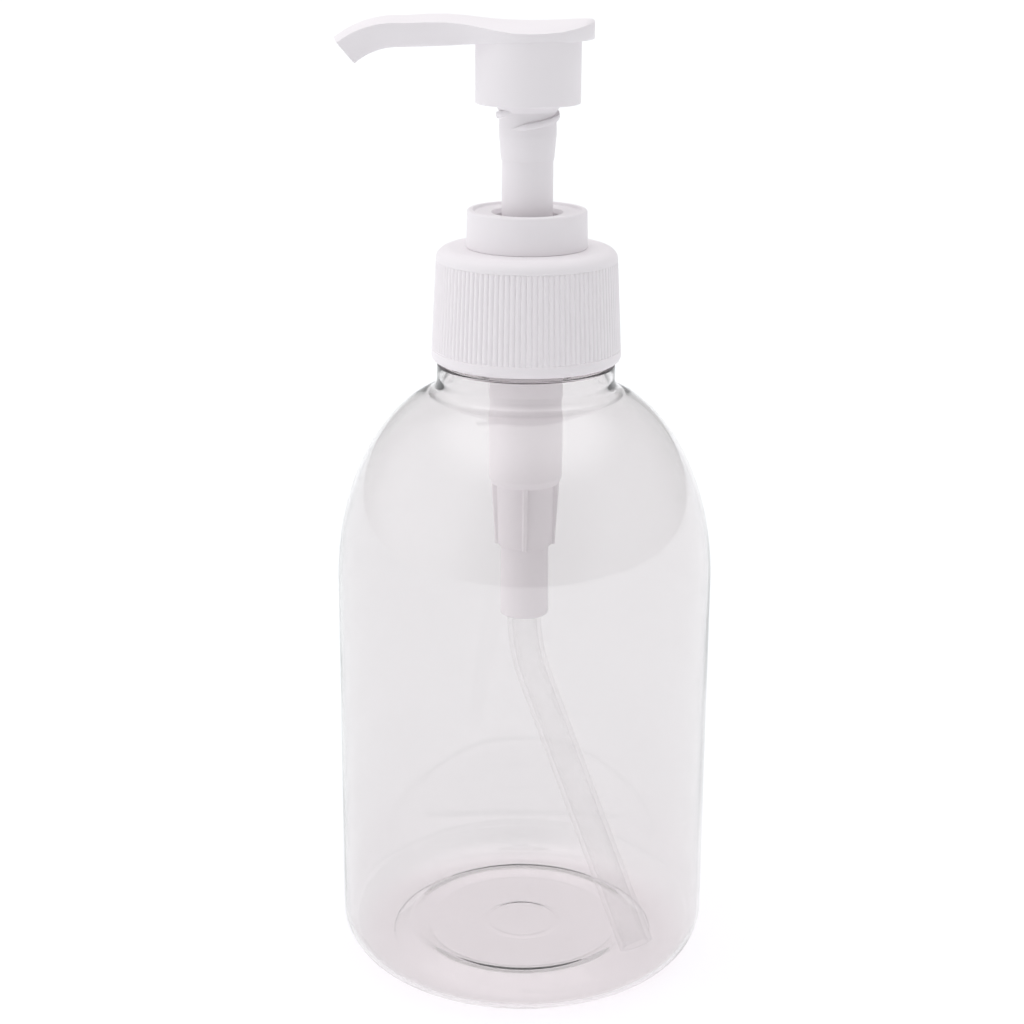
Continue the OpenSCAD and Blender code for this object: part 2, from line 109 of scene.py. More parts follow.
def rounded(corners, steps=5):
    """A closed outline from (r, z, radius) corners, each rounded by its own radius."""
    points = []
    count = len(corners)
    for i, (x, z, radius) in enumerate(corners):
        here = Vector((x, z))
        before = Vector(corners[i - 1][:2]) - here
        after = Vector(corners[(i + 1) % count][:2]) - here
        if radius <= 0 or before.length < TINY or after.length < TINY:
            points.append((x, z))
            continue
        a, b = before.normalized(), after.normalized()
        half = acos(max(-1.0, min(1.0, a.dot(b)))) / 2
        if half > ALMOST_STRAIGHT:
            points.append((x, z))
            continue
        reach = min(radius / tan(half), before.length * CORNER_SHARE, after.length * CORNER_SHARE)
        start, end = here + a * reach, here + b * reach
        for k in range(steps + 1):
            points.append(bend_point(start, here, end, k / steps))
    return points


def blend_between(t):
    """A smooth rise from 0 to 1."""
    t = max(0.0, min(1.0, t))
    return t * t * (3 - 2 * t)


# ---------- meshes ----------

def make_object(name, vertices, faces, material, crease=CREASE):
    mesh = bpy.data.meshes.new(name)
    mesh.from_pydata([Vector(v) * MM for v in vertices], [], faces)
    mesh.validate()
    mesh.shade_smooth()
    mesh.set_sharp_from_angle(angle=crease)
    mesh.materials.append(material)
    obj = bpy.data.objects.new(name, mesh)
    bpy.context.scene.collection.objects.link(obj)
    return obj


def join_shapes(*shapes):
    """One vertex list and one face list from several."""
    vertices, faces = [], []
    for more_vertices, more_faces in shapes:
        start = len(vertices)
        vertices += more_vertices
        faces += [tuple(i + start for i in f) for f in more_faces]
    return vertices, faces


def lathe(outline, segments=ROUND):
    """The closed outline turned round Z. The outline runs counter-clockwise in (r, z)."""
    vertices, faces, ring_of = [], [], []
    for r, z in outline:
        if r < AXIS_R:
            ring_of.append([len(vertices)] * segments)
            vertices.append((0.0, 0.0, z))
            continue
        ring_of.append(list(range(len(vertices), len(vertices) + segments)))
        for j in range(segments):
            a = FULL_TURN * j / segments
            vertices.append((r * cos(a), r * sin(a), z))
    for i, ring in enumerate(ring_of):
        above = ring_of[(i + 1) % len(ring_of)]
        for j in range(segments):
            k = (j + 1) % segments
            face = (ring[j], ring[k], above[k], above[j])
            unique = tuple(dict.fromkeys(face))
            if len(unique) > 2:
                faces.append(unique)
    return vertices, faces


def loft(rings, closed=False):
    """A skin over rings with the same number of points, with flat ends unless it closes on itself."""
    n = len(rings[0])
    vertices = [p for ring in rings for p in ring]
    faces = []
    spans = len(rings) if closed else len(rings) - 1
    for i in range(spans):
        a, b = i * n, ((i + 1) % len(rings)) * n
        for j in range(n):
            k = (j + 1) % n
            faces.append((a + j, a + k, b + k, b + j))
    if not closed:
        faces.append(tuple(range(n - 1, -1, -1)))
        faces.append(tuple(range((len(rings) - 1) * n, len(rings) * n)))
    return vertices, faces


THREAD_STEP = 4                 # about how many degrees apart the sections of a thread are
THREAD_END = 0.03               # how much of its full section a thread keeps at its very ends
SHOULDER_REACH = 0.8            # how far out its shoulders are, of the way to its tip
SHOULDER_EXTRA = 0.12           # added to half the tip's width at its shoulders
TIP_FLAT = 0.32                 # half of the flat on its tip, against the tip's width


def thread(root_r, tip_r, root_w, tip_w, lead, start_z, heading, span, sink=0.15, fade=40.0):
    """A helical ridge from root_r to tip_r over span degrees, which fades in and out over fade degrees."""
    steps = int(span / THREAD_STEP)
    into = -sink if tip_r > root_r else sink
    rings = []
    for i in range(steps + 1):
        turned = span * i / steps
        k = max(THREAD_END, blend_between(min(turned, span - turned) / fade))
        tip = root_r + (tip_r - root_r) * k
        shoulder_r = root_r + (tip_r - root_r) * k * SHOULDER_REACH
        root_half = root_w * k / 2
        shoulder_half = (tip_w * 0.5 + SHOULDER_EXTRA) * k
        tip_half = tip_w * k * TIP_FLAT
        z = start_z + lead * turned / 360
        a = radians(turned + heading)
        section = [
            (root_r + into, -root_half), (shoulder_r, -shoulder_half), (tip, -tip_half),
            (tip, tip_half), (shoulder_r, shoulder_half), (root_r + into, root_half),
        ]
        rings.append([(r * cos(a), r * sin(a), z + dz) for r, dz in section])
    if tip_r < root_r:
        rings.reverse()
    return loft(rings)


def outward(shape):
    """The shape with its faces turned to point outwards, by its signed volume."""
    vertices, faces = shape
    volume = 0.0
    for f in faces:
        p0 = Vector(vertices[f[0]])
        for i in range(1, len(f) - 1):
            volume += p0.dot(Vector(vertices[f[i]]).cross(Vector(vertices[f[i + 1]])))
    if volume < 0:
        faces = [tuple(reversed(f)) for f in faces]
    return vertices, faces


def piece(name, shape, material, body, slot, *nodes):
    """A finished piece that rides on a body and stands for CAD nodes."""
    obj = make_object(name, *outward(shape), material)
    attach(obj, body)
    if nodes:
        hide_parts(*nodes)
    return obj


# ---------- materials ----------

def new_material(name):
    material = bpy.data.materials.new(name)
    material.use_nodes = True
    nodes = material.node_tree.nodes
    return material, nodes, material.node_tree.links, nodes["Principled BSDF"]


def object_noise(nodes, links, scale, detail=3.0, stretch=(1, 1, 1)):
    """Noise in the piece's own space, in features per metre."""
    place = nodes.new("ShaderNodeTexCoord")
    mapping = nodes.new("ShaderNodeMapping")
    mapping.inputs["Scale"].default_value = stretch
    noise = nodes.new("ShaderNodeTexNoise")
    noise.inputs["Scale"].default_value = scale
    noise.inputs["Detail"].default_value = detail
    links.new(place.outputs["Object"], mapping.inputs["Vector"])
    links.new(mapping.outputs["Vector"], noise.inputs["Vector"])
    return noise.outputs["Fac"]


NOISE_LOW, NOISE_HIGH = 0.3, 0.7    # most values of a noise lie between these


def ranged(nodes, links, source, to_low, to_high):
    """The source's middle range spread from to_low to to_high."""
    spread = nodes.new("ShaderNodeMapRange")
    spread.inputs["From Min"].default_value = NOISE_LOW
    spread.inputs["From Max"].default_value = NOISE_HIGH
    spread.inputs["To Min"].default_value = to_low
    spread.inputs["To Max"].default_value = to_high
    links.new(source, spread.inputs["Value"])
    return spread.outputs["Result"]


def add_bump(nodes, links, shader, height, strength, distance):
    bump = nodes.new("ShaderNodeBump")
    bump.inputs["Strength"].default_value = strength
    bump.inputs["Distance"].default_value = distance
    links.new(height, bump.inputs["Height"])
    links.new(bump.outputs["Normal"], shader.inputs["Normal"])


def two_tone(nodes, links, shader, fac, light, dark):
    """The base colour, from dark to light as fac rises."""
    mix = nodes.new("ShaderNodeMix")
    mix.data_type = "RGBA"
    mix.inputs["A"].default_value = (*dark, 1)
    mix.inputs["B"].default_value = (*light, 1)
    links.new(fac, mix.inputs["Factor"])
    links.new(mix.outputs["Result"], shader.inputs["Base Color"])


def moulded_plastic(name, light, dark, rough, grain=0.06, rough_spread=0.05):
    """Satin moulded plastic: faint cloudiness and a fine moulding texture."""
    material, nodes, links, shader = new_material(name)
    cloud = object_noise(nodes, links, scale=90, detail=2)
    two_tone(nodes, links, shader, cloud, light, dark)
    fine = object_noise(nodes, links, scale=2200, detail=4)
    gloss = ranged(nodes, links, fine, rough - rough_spread, rough + rough_spread)
    links.new(gloss, shader.inputs["Roughness"])
    add_bump(nodes, links, shader, fine, strength=grain, distance=0.00004)
    shader.inputs["Specular IOR Level"].default_value = 0.35
    return material


def clear_plastic(name, tint, ior, light_through):
    """Blown clear plastic: real refraction and the slow ripple of a blown wall.

    Shadow and diffuse rays pass straight through it, so the inside isn't too dark."""
    material, nodes, links, shader = new_material(name)
    shader.inputs["Base Color"].default_value = (*tint, 1)
    shader.inputs["Transmission Weight"].default_value = 1.0
    shader.inputs["IOR"].default_value = ior
    haze = object_noise(nodes, links, scale=60, detail=2)
    links.new(ranged(nodes, links, haze, to_low=0.0, to_high=0.03), shader.inputs["Roughness"])
    ripple = object_noise(nodes, links, scale=55, detail=1, stretch=(1, 1, 0.5))
    add_bump(nodes, links, shader, ripple, strength=0.12, distance=0.0006)
    clear = nodes.new("ShaderNodeBsdfTransparent")
    clear.inputs["Color"].default_value = (*light_through, 1)
    path = nodes.new("ShaderNodeLightPath")
    either = nodes.new("ShaderNodeMath")
    either.operation = "MAXIMUM"
    links.new(path.outputs["Is Shadow Ray"], either.inputs[0])
    links.new(path.outputs["Is Diffuse Ray"], either.inputs[1])
    choose = nodes.new("ShaderNodeMixShader")
    links.new(either.outputs[0], choose.inputs[0])
    links.new(shader.outputs["BSDF"], choose.inputs[1])
    links.new(clear.outputs["BSDF"], choose.inputs[2])
    links.new(choose.outputs["Shader"], nodes["Material Output"].inputs["Surface"])
    return material


def hazy_tube(name, light, dark, face_on, edge_on):
    """Thin natural polyethylene: nearly clear face on, milkier where it is seen edge on."""
    material, nodes, links, shader = new_material(name)
    fine = object_noise(nodes, links, scale=700, detail=3)
    two_tone(nodes, links, shader, fine, light, dark)
    links.new(ranged(nodes, links, fine, to_low=0.25, to_high=0.4), shader.inputs["Roughness"])
    facing = nodes.new("ShaderNodeLayerWeight")
    facing.inputs["Blend"].default_value = 0.35
    haze = nodes.new("ShaderNodeMapRange")
    haze.inputs["To Min"].default_value = face_on
    haze.inputs["To Max"].default_value = edge_on
    links.new(facing.outputs["Facing"], haze.inputs["Value"])
    links.new(haze.outputs["Result"], shader.inputs["Alpha"])
    return material


def drawn_steel(name):
    """Steel wire with fine drawing streaks."""
    material, nodes, links, shader = new_material(name)
    shader.inputs["Metallic"].default_value = 1.0
    streak = object_noise(nodes, links, scale=900, detail=3, stretch=(1, 1, 4))
    two_tone(nodes, links, shader, streak, light=(0.72, 0.72, 0.73), dark=(0.55, 0.55, 0.57))
    links.new(ranged(nodes, links, streak, to_low=0.2, to_high=0.35), shader.inputs["Roughness"])
    return material


def ball_glass(name):
    """Pale glass of the valve balls."""
    material, nodes, links, shader = new_material(name)
    cloud = object_noise(nodes, links, scale=300, detail=2)
    two_tone(nodes, links, shader, cloud, light=(0.92, 0.96, 0.95), dark=(0.88, 0.93, 0.92))
    shader.inputs["Transmission Weight"].default_value = 0.9
    shader.inputs["Roughness"].default_value = 0.04
    shader.inputs["IOR"].default_value = 1.5
    return material


def cell_foam(name):
    """Closed-cell foam: small cells, each with a dent, and painted shade that darkens each dent towards its
    middle.
    """
    material, nodes, links, shader = new_material(name)
    cells = nodes.new("ShaderNodeTexVoronoi")
    cells.inputs["Scale"].default_value = 2500
    place = nodes.new("ShaderNodeTexCoord")
    links.new(place.outputs["Object"], cells.inputs["Vector"])
    # painted shade: the colour follows the dent's depth, darkest in the middle of each cell
    two_tone(nodes, links, shader, cells.outputs["Distance"], light=(0.9, 0.9, 0.87), dark=(0.78, 0.78, 0.75))
    shader.inputs["Roughness"].default_value = 0.85
    add_bump(nodes, links, shader, cells.outputs["Distance"], strength=0.5, distance=0.0001)
    return material


WHITE = moulded_plastic("white_pp_satin", light=(0.855, 0.82, 0.842), dark=(0.84, 0.805, 0.827), rough=0.42)
CLEAR = clear_plastic("clear_pet", tint=(0.868, 0.85, 0.851), ior=1.57, light_through=(0.995, 0.98, 0.985))
NATURAL = moulded_plastic("natural_pp", light=(0.9, 0.878, 0.892), dark=(0.885, 0.863, 0.877),
                          rough=0.45, grain=0.05)
TUBE = hazy_tube("natural_pe", light=(0.86, 0.84, 0.845), dark=(0.82, 0.8, 0.805), face_on=0.04, edge_on=0.22)
SEAL = moulded_plastic("seal_pe", light=(0.8, 0.82, 0.84), dark=(0.76, 0.78, 0.8), rough=0.5)
STEEL = drawn_steel("spring_steel")
BALL = ball_glass("ball_glass")
FOAM = cell_foam("foam")


# ---------- bottle ----------

heel_w, heel_h = 6.7, 7.4
foot_r = body_r - heel_w         # radius of the standing ring
side_top, shoulder_top = 69.0, 103.0
shoulder_spread, shoulder_rise = 1.6, 2.1
neck_r = 15.15
neck_top = 107.6
finish_r, finish_bore_r = 12.65, 10.9
wall = 0.7
neck_wall = 0.8
neck_plate = 0.4                 # thickness of the step in to the finish
neck_fillet = 2.2
base_wall = 0.8
neck_run = 1.4                   # last straight run of the neck below its step
HEEL_STEPS = 24
# The base, from the standing ring inwards
foot_in, foot_lift = 0.8, 0.05   # where its curve leaves the standing ring
rise_in, rise_z = 2.4, 0.5       # where it turns up towards the ridge
punt_r, ridge_z = 19.8, 2.7      # the ridge around the floor
punt_slope, punt_z = 2.8, 1.7    # the width of the ridge's inner slope, and the floor
gate_r, gate_edge, gate_step = 6.6, 0.5, 0.12    # the gate mark's edge: radius, half its width, rise


def shoulder(r_side, r_neck, z_low, z_high, steps=40):
    """The rounded shoulder from the side up to the neck."""
    points = []
    for i in range(steps + 1):
        a = pi / 2 * i / steps
        r = r_neck + (r_side - r_neck) * max(cos(a), 0.0) ** (2 / shoulder_spread)
        z = z_low + (z_high - z_low) * sin(a) ** (2 / shoulder_rise)
        points.append((r, z))
    return points


def fillet(curve, upper_end, reach, steps=12):
    """The curve with its last stretch, within reach of its end, rounded off into the line to upper_end."""
    corner = Vector(curve[-1])
    kept = [p for p in curve if (Vector(p) - corner).length > reach]
    start = Vector(kept[-1])
    end = corner + (Vector(upper_end) - corner).normalized() * reach
    return kept + [bend_point(start, corner, end, i / steps) for i in range(1, steps + 1)]


def base_curve(up):
    """The base from near the standing ring in to the gate mark, raised by up."""
    floor_z = punt_z + up
    gate_z = punt_z + gate_step + up
    return rounded([
        (foot_r - foot_in, foot_lift + up, 0), (foot_r - rise_in, rise_z + up, 1.4),
        (punt_r, ridge_z + up, 2.0), (punt_r - punt_slope, floor_z, 2.5),
        (gate_r + gate_edge, floor_z, 0.5), (gate_r - gate_edge, gate_z, 0.5), (0, gate_z, 0),
    ])


def bottle_outline():
    """The wall's outside from the base up to the mouth, then its inside back down."""
    inner_neck_r = neck_r - neck_wall
    step_low = neck_top - neck_plate
    outside = base_curve(0)
    outside.reverse()
    outside += arc(foot_r, heel_h, heel_w, heel_h, -90, 0, HEEL_STEPS)
    outside += fillet(shoulder(body_r, neck_r, side_top, shoulder_top), (neck_r, neck_top), neck_fillet)
    outside += rounded([
        (neck_r, neck_top - neck_run, 0), (neck_r, neck_top, 0.3), (finish_r, neck_top, 0.4),
        (finish_r, finish_top, 0.5), (finish_bore_r, finish_top, 0.4), (finish_bore_r, step_low, 0.1),
        (inner_neck_r, step_low, 0.15),
    ])
    inside = fillet(shoulder(body_r - wall, inner_neck_r, side_top, shoulder_top - wall),
                    (inner_neck_r, step_low), neck_fillet)
    inside.reverse()
    inside += arc(foot_r, heel_h, heel_w - wall, heel_h - wall, 0, -90, HEEL_STEPS)
    inside += base_curve(base_wall)
    return outside + inside


THREAD_LEAD = 4.233
THREAD_Z = 114.6
BOTTLE_ROUND = 256               # the bottle is the largest lathed piece, so it has more segments
neck_thread = thread(finish_r, tip_r=13.55, root_w=2.1, tip_w=1.1, lead=THREAD_LEAD, start_z=THREAD_Z,
                     heading=0, span=540)
piece("bottle_shell",
      join_shapes(outward(lathe(bottle_outline(), BOTTLE_ROUND)), outward(neck_thread)),
      CLEAR, "bottle", "clear_pet", "bottle")


# ---------- closure ----------

RIB_COUNT = 106
RIB_STEPS = 8
rib_high, rib_low = cap_high - 2.1, cap_low + 2.0
rib_height = 0.22
rib_end = 0.55                   # height over which a rib fades out at either end
rib_fullness = 0.7               # below 1 a rib is rounder, with narrower grooves
rib_skin = 0.6                   # a point this far outside the bore is on the closure's outer side
END_STEPS, end_step = 7, 0.1     # extra heights where the ribs fade out
SIDE_STEPS = 48
cap_top_r = cap_r - 0.8
cap_bore_r = 13.85
cap_plate = 1.6
cap_hole_r = 7.6
cap_foot_round = 0.9
cap_top_round_w, cap_top_round_h = 2.3, 1.9
cap_flat_in = 2.5                # where the flat top begins
lip_chamfer, lip_inside = 0.3, 0.4


def rib_lift(z, turn):
    """How far a grip rib stands out at height z and at this fraction of its own width."""
    ends = min(z - rib_low, rib_high - z)
    if ends <= 0:
        return 0.0
    fade = sqrt(1 - (1 - ends / rib_end) ** 2) if ends < rib_end else 1.0
    return rib_height * fade * abs(cos(pi * turn)) ** rib_fullness


def closure_shape():
    """The closure turned as a plain shell, with its side then moved in and out into ribs."""
    side_low, side_high = cap_low + cap_foot_round, cap_high - cap_top_round_h
    slope = (cap_top_r - cap_r) / (side_high - side_low)
    heights = [side_low + (side_high - side_low) * i / SIDE_STEPS for i in range(SIDE_STEPS + 1)]
    heights += [rib_low + end_step * i for i in range(END_STEPS)]
    heights += [rib_high - end_step * i for i in range(END_STEPS)]
    side = [(cap_r + slope * (z - side_low), z) for z in sorted(set(heights))]
    outline = [(cap_bore_r, cap_low + lip_chamfer), (cap_bore_r + lip_chamfer, cap_low)]
    outline += arc(cap_r - cap_foot_round, side_low, cap_foot_round, cap_foot_round, -90, 0, 6)[:-1]
    outline += side
    outline += arc(cap_top_r - cap_top_round_w, side_high, cap_top_round_w, cap_top_round_h, 0, 90, 12)[1:]
    outline += rounded([
        (cap_top_r - cap_flat_in, cap_high, 0), (cap_hole_r, cap_high, 0.25),
        (cap_hole_r, cap_high - cap_plate, 0.2), (cap_bore_r, cap_high - cap_plate, 0.5),
        (cap_bore_r, cap_low + lip_inside, 0),
    ])
    segments = RIB_COUNT * RIB_STEPS
    vertices, faces = lathe(outline, segments)
    for i, (x, y, z) in enumerate(vertices):
        r = hypot(x, y)
        if r > cap_bore_r + rib_skin and rib_low < z < rib_high:
            turn = (i % segments) / RIB_STEPS
            scale = (r + rib_lift(z, turn) - rib_height) / r
            vertices[i] = (x * scale, y * scale, z)
    inner_thread = thread(cap_bore_r, tip_r=12.9, root_w=1.7, tip_w=1.0, lead=THREAD_LEAD,
                          start_z=THREAD_Z - THREAD_LEAD / 2 + THREAD_LEAD / 6, heading=60, span=420)
    return join_shapes(outward((vertices, faces)), outward(inner_thread))


piece("ribbed_closure", closure_shape(), WHITE, "closure", "white_pp", "closure_cap")


# ---------- lock collar and pump housing ----------

LOCK_LEAD = 5.5
lock_root_w, lock_tip_w = 1.3, 0.7
plug_r, hub_r = 5.68, 7.52       # the collar inside the pump's cylinder, and inside the closure's hole
collar_lift = 0.05               # gap between the collar and the closure's top
rim_in = 0.15                    # how much narrower the collar is at its top
dish_edge_r, dish_out_r, dish_in_r, dish_depth = 9.1, 8.8, 6.0, 0.45
lock_bore_r, lock_bevel = 5.5, 0.7
guide_gap, guide_lift = 0.07, 0.1    # between the guide and the stem, and above the cylinder's top


def collar_shape():
    """The collar round the stem, with the two starts of the lock thread in its bore."""
    foot = cap_high + collar_lift
    rim_r = collar_r - rim_in
    dish_z = collar_high - dish_depth
    guide_r = stem_r + guide_gap
    guide_high = housing_high + guide_lift
    outline = rounded([
        (guide_r, plug_low, 0.2), (plug_r, plug_low, 0.5), (plug_r, housing_high, 0.1),
        (hub_r, housing_high, 0), (hub_r, foot, 0), (collar_r, foot, 0), (rim_r, collar_high, 0.9),
        (dish_edge_r, collar_high, 0.3),
        (dish_out_r, dish_z, 0.3), (dish_in_r, dish_z, 0.3), (lock_bore_r, dish_z - lock_bevel, 0.2),
        (lock_bore_r, guide_high, 0.3), (guide_r, guide_high, 0.3),
    ])
    ridges = [thread(lock_bore_r, tip_r=4.98, root_w=lock_root_w, tip_w=lock_tip_w, lead=LOCK_LEAD,
                     start_z=128.4, heading=turn, span=230) for turn in (0, 180)]
    return join_shapes(outward(lathe(outline)), *[outward(ridge) for ridge in ridges])


piece("lock_ring", collar_shape(), WHITE, "pump_body", "white_pp", "lock_collar")

housing_r = 6.3
FIN_COUNT = 4
fin_top, fin_foot = 86.6, 75.4
fin_over = 0.4                   # how far a fin runs up into the cylinder
fin_root_r, fin_high_r, fin_low_r, fin_thick = 3.6, 5.9, 5.2, 0.9
fin_edge_in, fin_edge_side = 0.25, 0.2   # the rounding of a fin's outer edge
spring_seat = 88.0
spring_seat_r = 4.0              # inner edge of the spring's seat
ball_bore_r, ball_lead_in = 2.9, 1.2
ball_seat_high, ball_seat_low = 79, 77.6
inlet_r = 1.5
tube_socket_r, tube_socket_high = 3.0, 74.6
tail_low_r, tail_high_r = 4.2, 4.15
core_low_r, core_high_r = 4.7, 4.9
step_r, step_rise = 5.8, 1.2     # the sloping step below the cylinder
flange_thick = 1.2
cylinder_bore_r = 5.2
top_bore_r, top_bore_depth = 5.7, 13


def fin(turn):
    """A fin standing out from the core, narrower at its foot, with a rounded outer edge."""
    half = fin_thick / 2
    rings = []
    for x_high, x_low, narrow in (
            (fin_root_r, fin_root_r, half),
            (fin_high_r - fin_edge_in, fin_low_r - fin_edge_in, half),
            (fin_high_r, fin_low_r, half - fin_edge_side)):
        rings.append([(x_low, -narrow, fin_foot), (x_low, narrow, fin_foot),
                      (x_high, narrow, fin_top + fin_over), (x_high, -narrow, fin_top + fin_over)])
    vertices, faces = loft(rings)
    spin = Matrix.Rotation(radians(turn), 3, "Z")
    return outward(([tuple(spin @ Vector(v)) for v in vertices], faces))


def housing_shape():
    """The cylinder with its flange, the ball's bore, the tail for the dip tube, and the fins."""
    flange_low = housing_high - flange_thick
    top_bore_low = housing_high - top_bore_depth
    outline = rounded([
        (spring_seat_r, spring_seat, 0), (ball_bore_r, spring_seat - ball_lead_in, 0.2),
        (ball_bore_r, ball_seat_high, 0), (inlet_r, ball_seat_low, 0), (inlet_r, tube_socket_high, 0),
        (tube_socket_r, tube_socket_high, 0), (tube_socket_r, housing_low, 0.2),
        (tail_low_r, housing_low, 0.35), (tail_high_r, fin_foot, 0.2),
        (core_low_r, fin_foot, 0.25), (core_high_r, fin_top, 0.2),
        (step_r, fin_top, 0.3), (housing_r, fin_top + step_rise, 0.5), (housing_r, flange_low, 0.4),
        (flange_r, flange_low, 0.2), (flange_r, housing_high, 0.2), (top_bore_r, housing_high, 0.2),
        (top_bore_r, top_bore_low, 0.1), (cylinder_bore_r, top_bore_low, 0.1),
        (cylinder_bore_r, spring_seat, 0.1),
    ])
    fins = [fin(360 / FIN_COUNT * i) for i in range(FIN_COUNT)]
    return join_shapes(outward(lathe(outline)), *fins)


piece("pump_cylinder", housing_shape(), NATURAL, "pump_body", "natural_pp", "pump_housing")

gasket_low, gasket_high = low("gasket").z, high("gasket").z
gasket_r, gasket_gap = 12.5, 0.05
piece("neck_gasket",
      lathe(rounded([(housing_r + gasket_gap, gasket_low, 0.2), (gasket_r, gasket_low, 0.25),
                     (gasket_r, gasket_high, 0.25), (housing_r + gasket_gap, gasket_high, 0.2)])),
      FOAM, "pump_body", "foam", "gasket")


# ---------- dip tube ----------

DIP_HEADING = radians(38)
DIP_BEND = radians(27)
dip_bend_r, dip_free = 25.0, 62.0    # the bend's radius, and the height where it starts
dip_r, dip_bore_r = 3.0, 2.2
dip_length = 50.0                # straight run below the bend
BEND_STEPS, RUN_STEPS = 16, 8
dip_top = high("dip_tube").z


def dip_stations():
    """(distance from the axis, height, lean) along the tube's middle."""
    stations = [(0.0, dip_top, 0.0), (0.0, (dip_top + dip_free) / 2, 0.0)]
    for i in range(BEND_STEPS + 1):
        a = DIP_BEND * i / BEND_STEPS
        stations.append((dip_bend_r * (1 - cos(a)), dip_free - dip_bend_r * sin(a), a))
    out, down, lean = stations[-1]
    for i in range(1, RUN_STEPS + 1):
        run = dip_length * i / RUN_STEPS
        stations.append((out + run * sin(lean), down - run * cos(lean), lean))
    return stations


def dip_ring(station, radius, sides=48):
    """A ring round the tube's middle at a station, square to the tube."""
    out, z, lean = station
    ring = []
    for j in range(sides):
        b = FULL_TURN * j / sides
        along, across = radius * cos(b), radius * sin(b)
        r = out + along * cos(lean)
        x = r * cos(DIP_HEADING) + across * sin(DIP_HEADING)
        y = -r * sin(DIP_HEADING) + across * cos(DIP_HEADING)
        ring.append((x, y, z + along * sin(lean)))
    return ring


def dip_shape():
    """The tube's outside down to its open end, then its bore back up."""
    stations = dip_stations()
    rings = [dip_ring(s, dip_r) for s in stations]
    rings += [dip_ring(s, dip_bore_r) for s in reversed(stations)]
    return loft(rings, closed=True)


piece("dip_pipe", dip_shape(), TUBE, "pump_body", "natural_pe", "dip_tube")


# ---------- plunger parts inside the pump ----------

rod_bore_r, rod_r, rod_flange_r, rod_top_r = 1.8, 2.9, 4.4, 3.0
rod_flange_low, rod_flange_high = 106.2, 107.4
piece("hollow_rod",
      lathe(rounded([(rod_bore_r, rod_low, 0.2), (rod_r, rod_low, 0.3), (rod_r, rod_flange_low, 0.1),
                     (rod_flange_r, rod_flange_low, 0.2), (rod_flange_r, rod_flange_high, 0.2),
                     (rod_top_r, rod_flange_high, 0.1), (rod_top_r, rod_high, 0.3),
                     (rod_bore_r, rod_high, 0.2)])),
      NATURAL, "head", "natural_pp", "piston_rod")

piston_r = high("piston").x
piston_bore_r, piston_waist_r = 3.05, 4.5
cup_in = 0.6                     # depth of the cup behind each lip, and its distance in from the lip
lip_h, waist_in = 1.3, 1.8       # height of a lip, and where the waist begins
piece("cup_piston",
      lathe(rounded([(piston_bore_r, piston_low, 0.1), (piston_r - cup_in, piston_low + cup_in, 0.3),
                     (piston_r, piston_low, 0.1), (piston_r, piston_low + lip_h, 0.2),
                     (piston_waist_r, piston_low + waist_in, 0.3),
                     (piston_waist_r, piston_high - waist_in, 0.3),
                     (piston_r, piston_high - lip_h, 0.2), (piston_r, piston_high, 0.1),
                     (piston_r - cup_in, piston_high - cup_in, 0.3), (piston_bore_r, piston_high, 0.1)])),
      SEAL, "plunger", "seal_pe", "piston")

outlet_seat, seat_rise, seat_thick = 150.0, 1, 3
outlet_r, chamber_r = 1.6, 2.6   # the hole under the outlet ball, and the chamber round it
stem_bore_r, rod_socket_r = 2.4, 3.0
rod_socket_high = rod_high + 0.1
piece("plunger_stem",
      lathe(rounded([(rod_socket_r, stem_low, 0.1), (stem_r, stem_low, 0.2), (stem_r, stem_high, 0.3),
                     (chamber_r, stem_high, 0.2), (chamber_r, outlet_seat + seat_rise, 0.1),
                     (outlet_r, outlet_seat, 0.1), (outlet_r, outlet_seat - seat_thick, 0.1),
                     (stem_bore_r, outlet_seat - seat_thick, 0.1), (stem_bore_r, rod_socket_high, 0.1),
                     (rod_socket_r, rod_socket_high, 0.1)])),
      WHITE, "head", "white_pp", "stem")


BALL_STEPS, BALL_ROUND = 24, 48


def ball_shape(node):
    """A ball as large as the node's own."""
    middle = (low(node) + high(node)) / 2
    radius = (high(node).z - low(node).z) / 2
    return lathe(arc(0, middle.z, radius, radius, -90, 90, BALL_STEPS), BALL_ROUND)


piece("inlet_bead", ball_shape("inlet_ball"), BALL, "inlet_valve", "ball_glass", "inlet_ball")
piece("outlet_bead", ball_shape("outlet_ball"), BALL, "outlet_valve", "ball_glass", "outlet_ball")

SPRING_TURNS = 6
CLOSED_PITCH = 2.08              # rise of a closed end turn, in wire radii
wire_r, coil_r = 0.35, 4.3


def coil_height(t):
    """Height of the wire's middle after t turns, closed at both ends."""
    closed = wire_r * CLOSED_PITCH
    bottom, top = spring_low + wire_r, spring_high - wire_r
    open_pitch = (top - bottom - 2 * closed) / (SPRING_TURNS - 2)
    if t < 1:
        return bottom + closed * t
    if t > SPRING_TURNS - 1:
        return top - closed * (SPRING_TURNS - t)
    return bottom + closed + open_pitch * (t - 1)


def spring_shape(steps_per_turn=48, sides=14):
    """The coil, as a round wire along its own helix."""
    rings = []
    for i in range(SPRING_TURNS * steps_per_turn + 1):
        t = i / steps_per_turn
        a = FULL_TURN * t
        ring = []
        for j in range(sides):
            b = FULL_TURN * j / sides
            r = coil_r + wire_r * cos(b)
            ring.append((r * cos(a), r * sin(a), coil_height(t) + wire_r * sin(b)))
        rings.append(ring)
    return loft(rings)


spring = piece("return_spring", spring_shape(), STEEL, "pump_body", "spring_steel", "spring")
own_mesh(spring)


# ---------- head ----------

head_r = 8.7
skirt_low = 151.1
plate_low = 161.2
spout_tip_x = -29.95
spout_z = 162.9
SPOUT_DROOP = radians(40)
bend_r = 14.4
bend_x = spout_tip_x + bend_r * sin(SPOUT_DROOP)

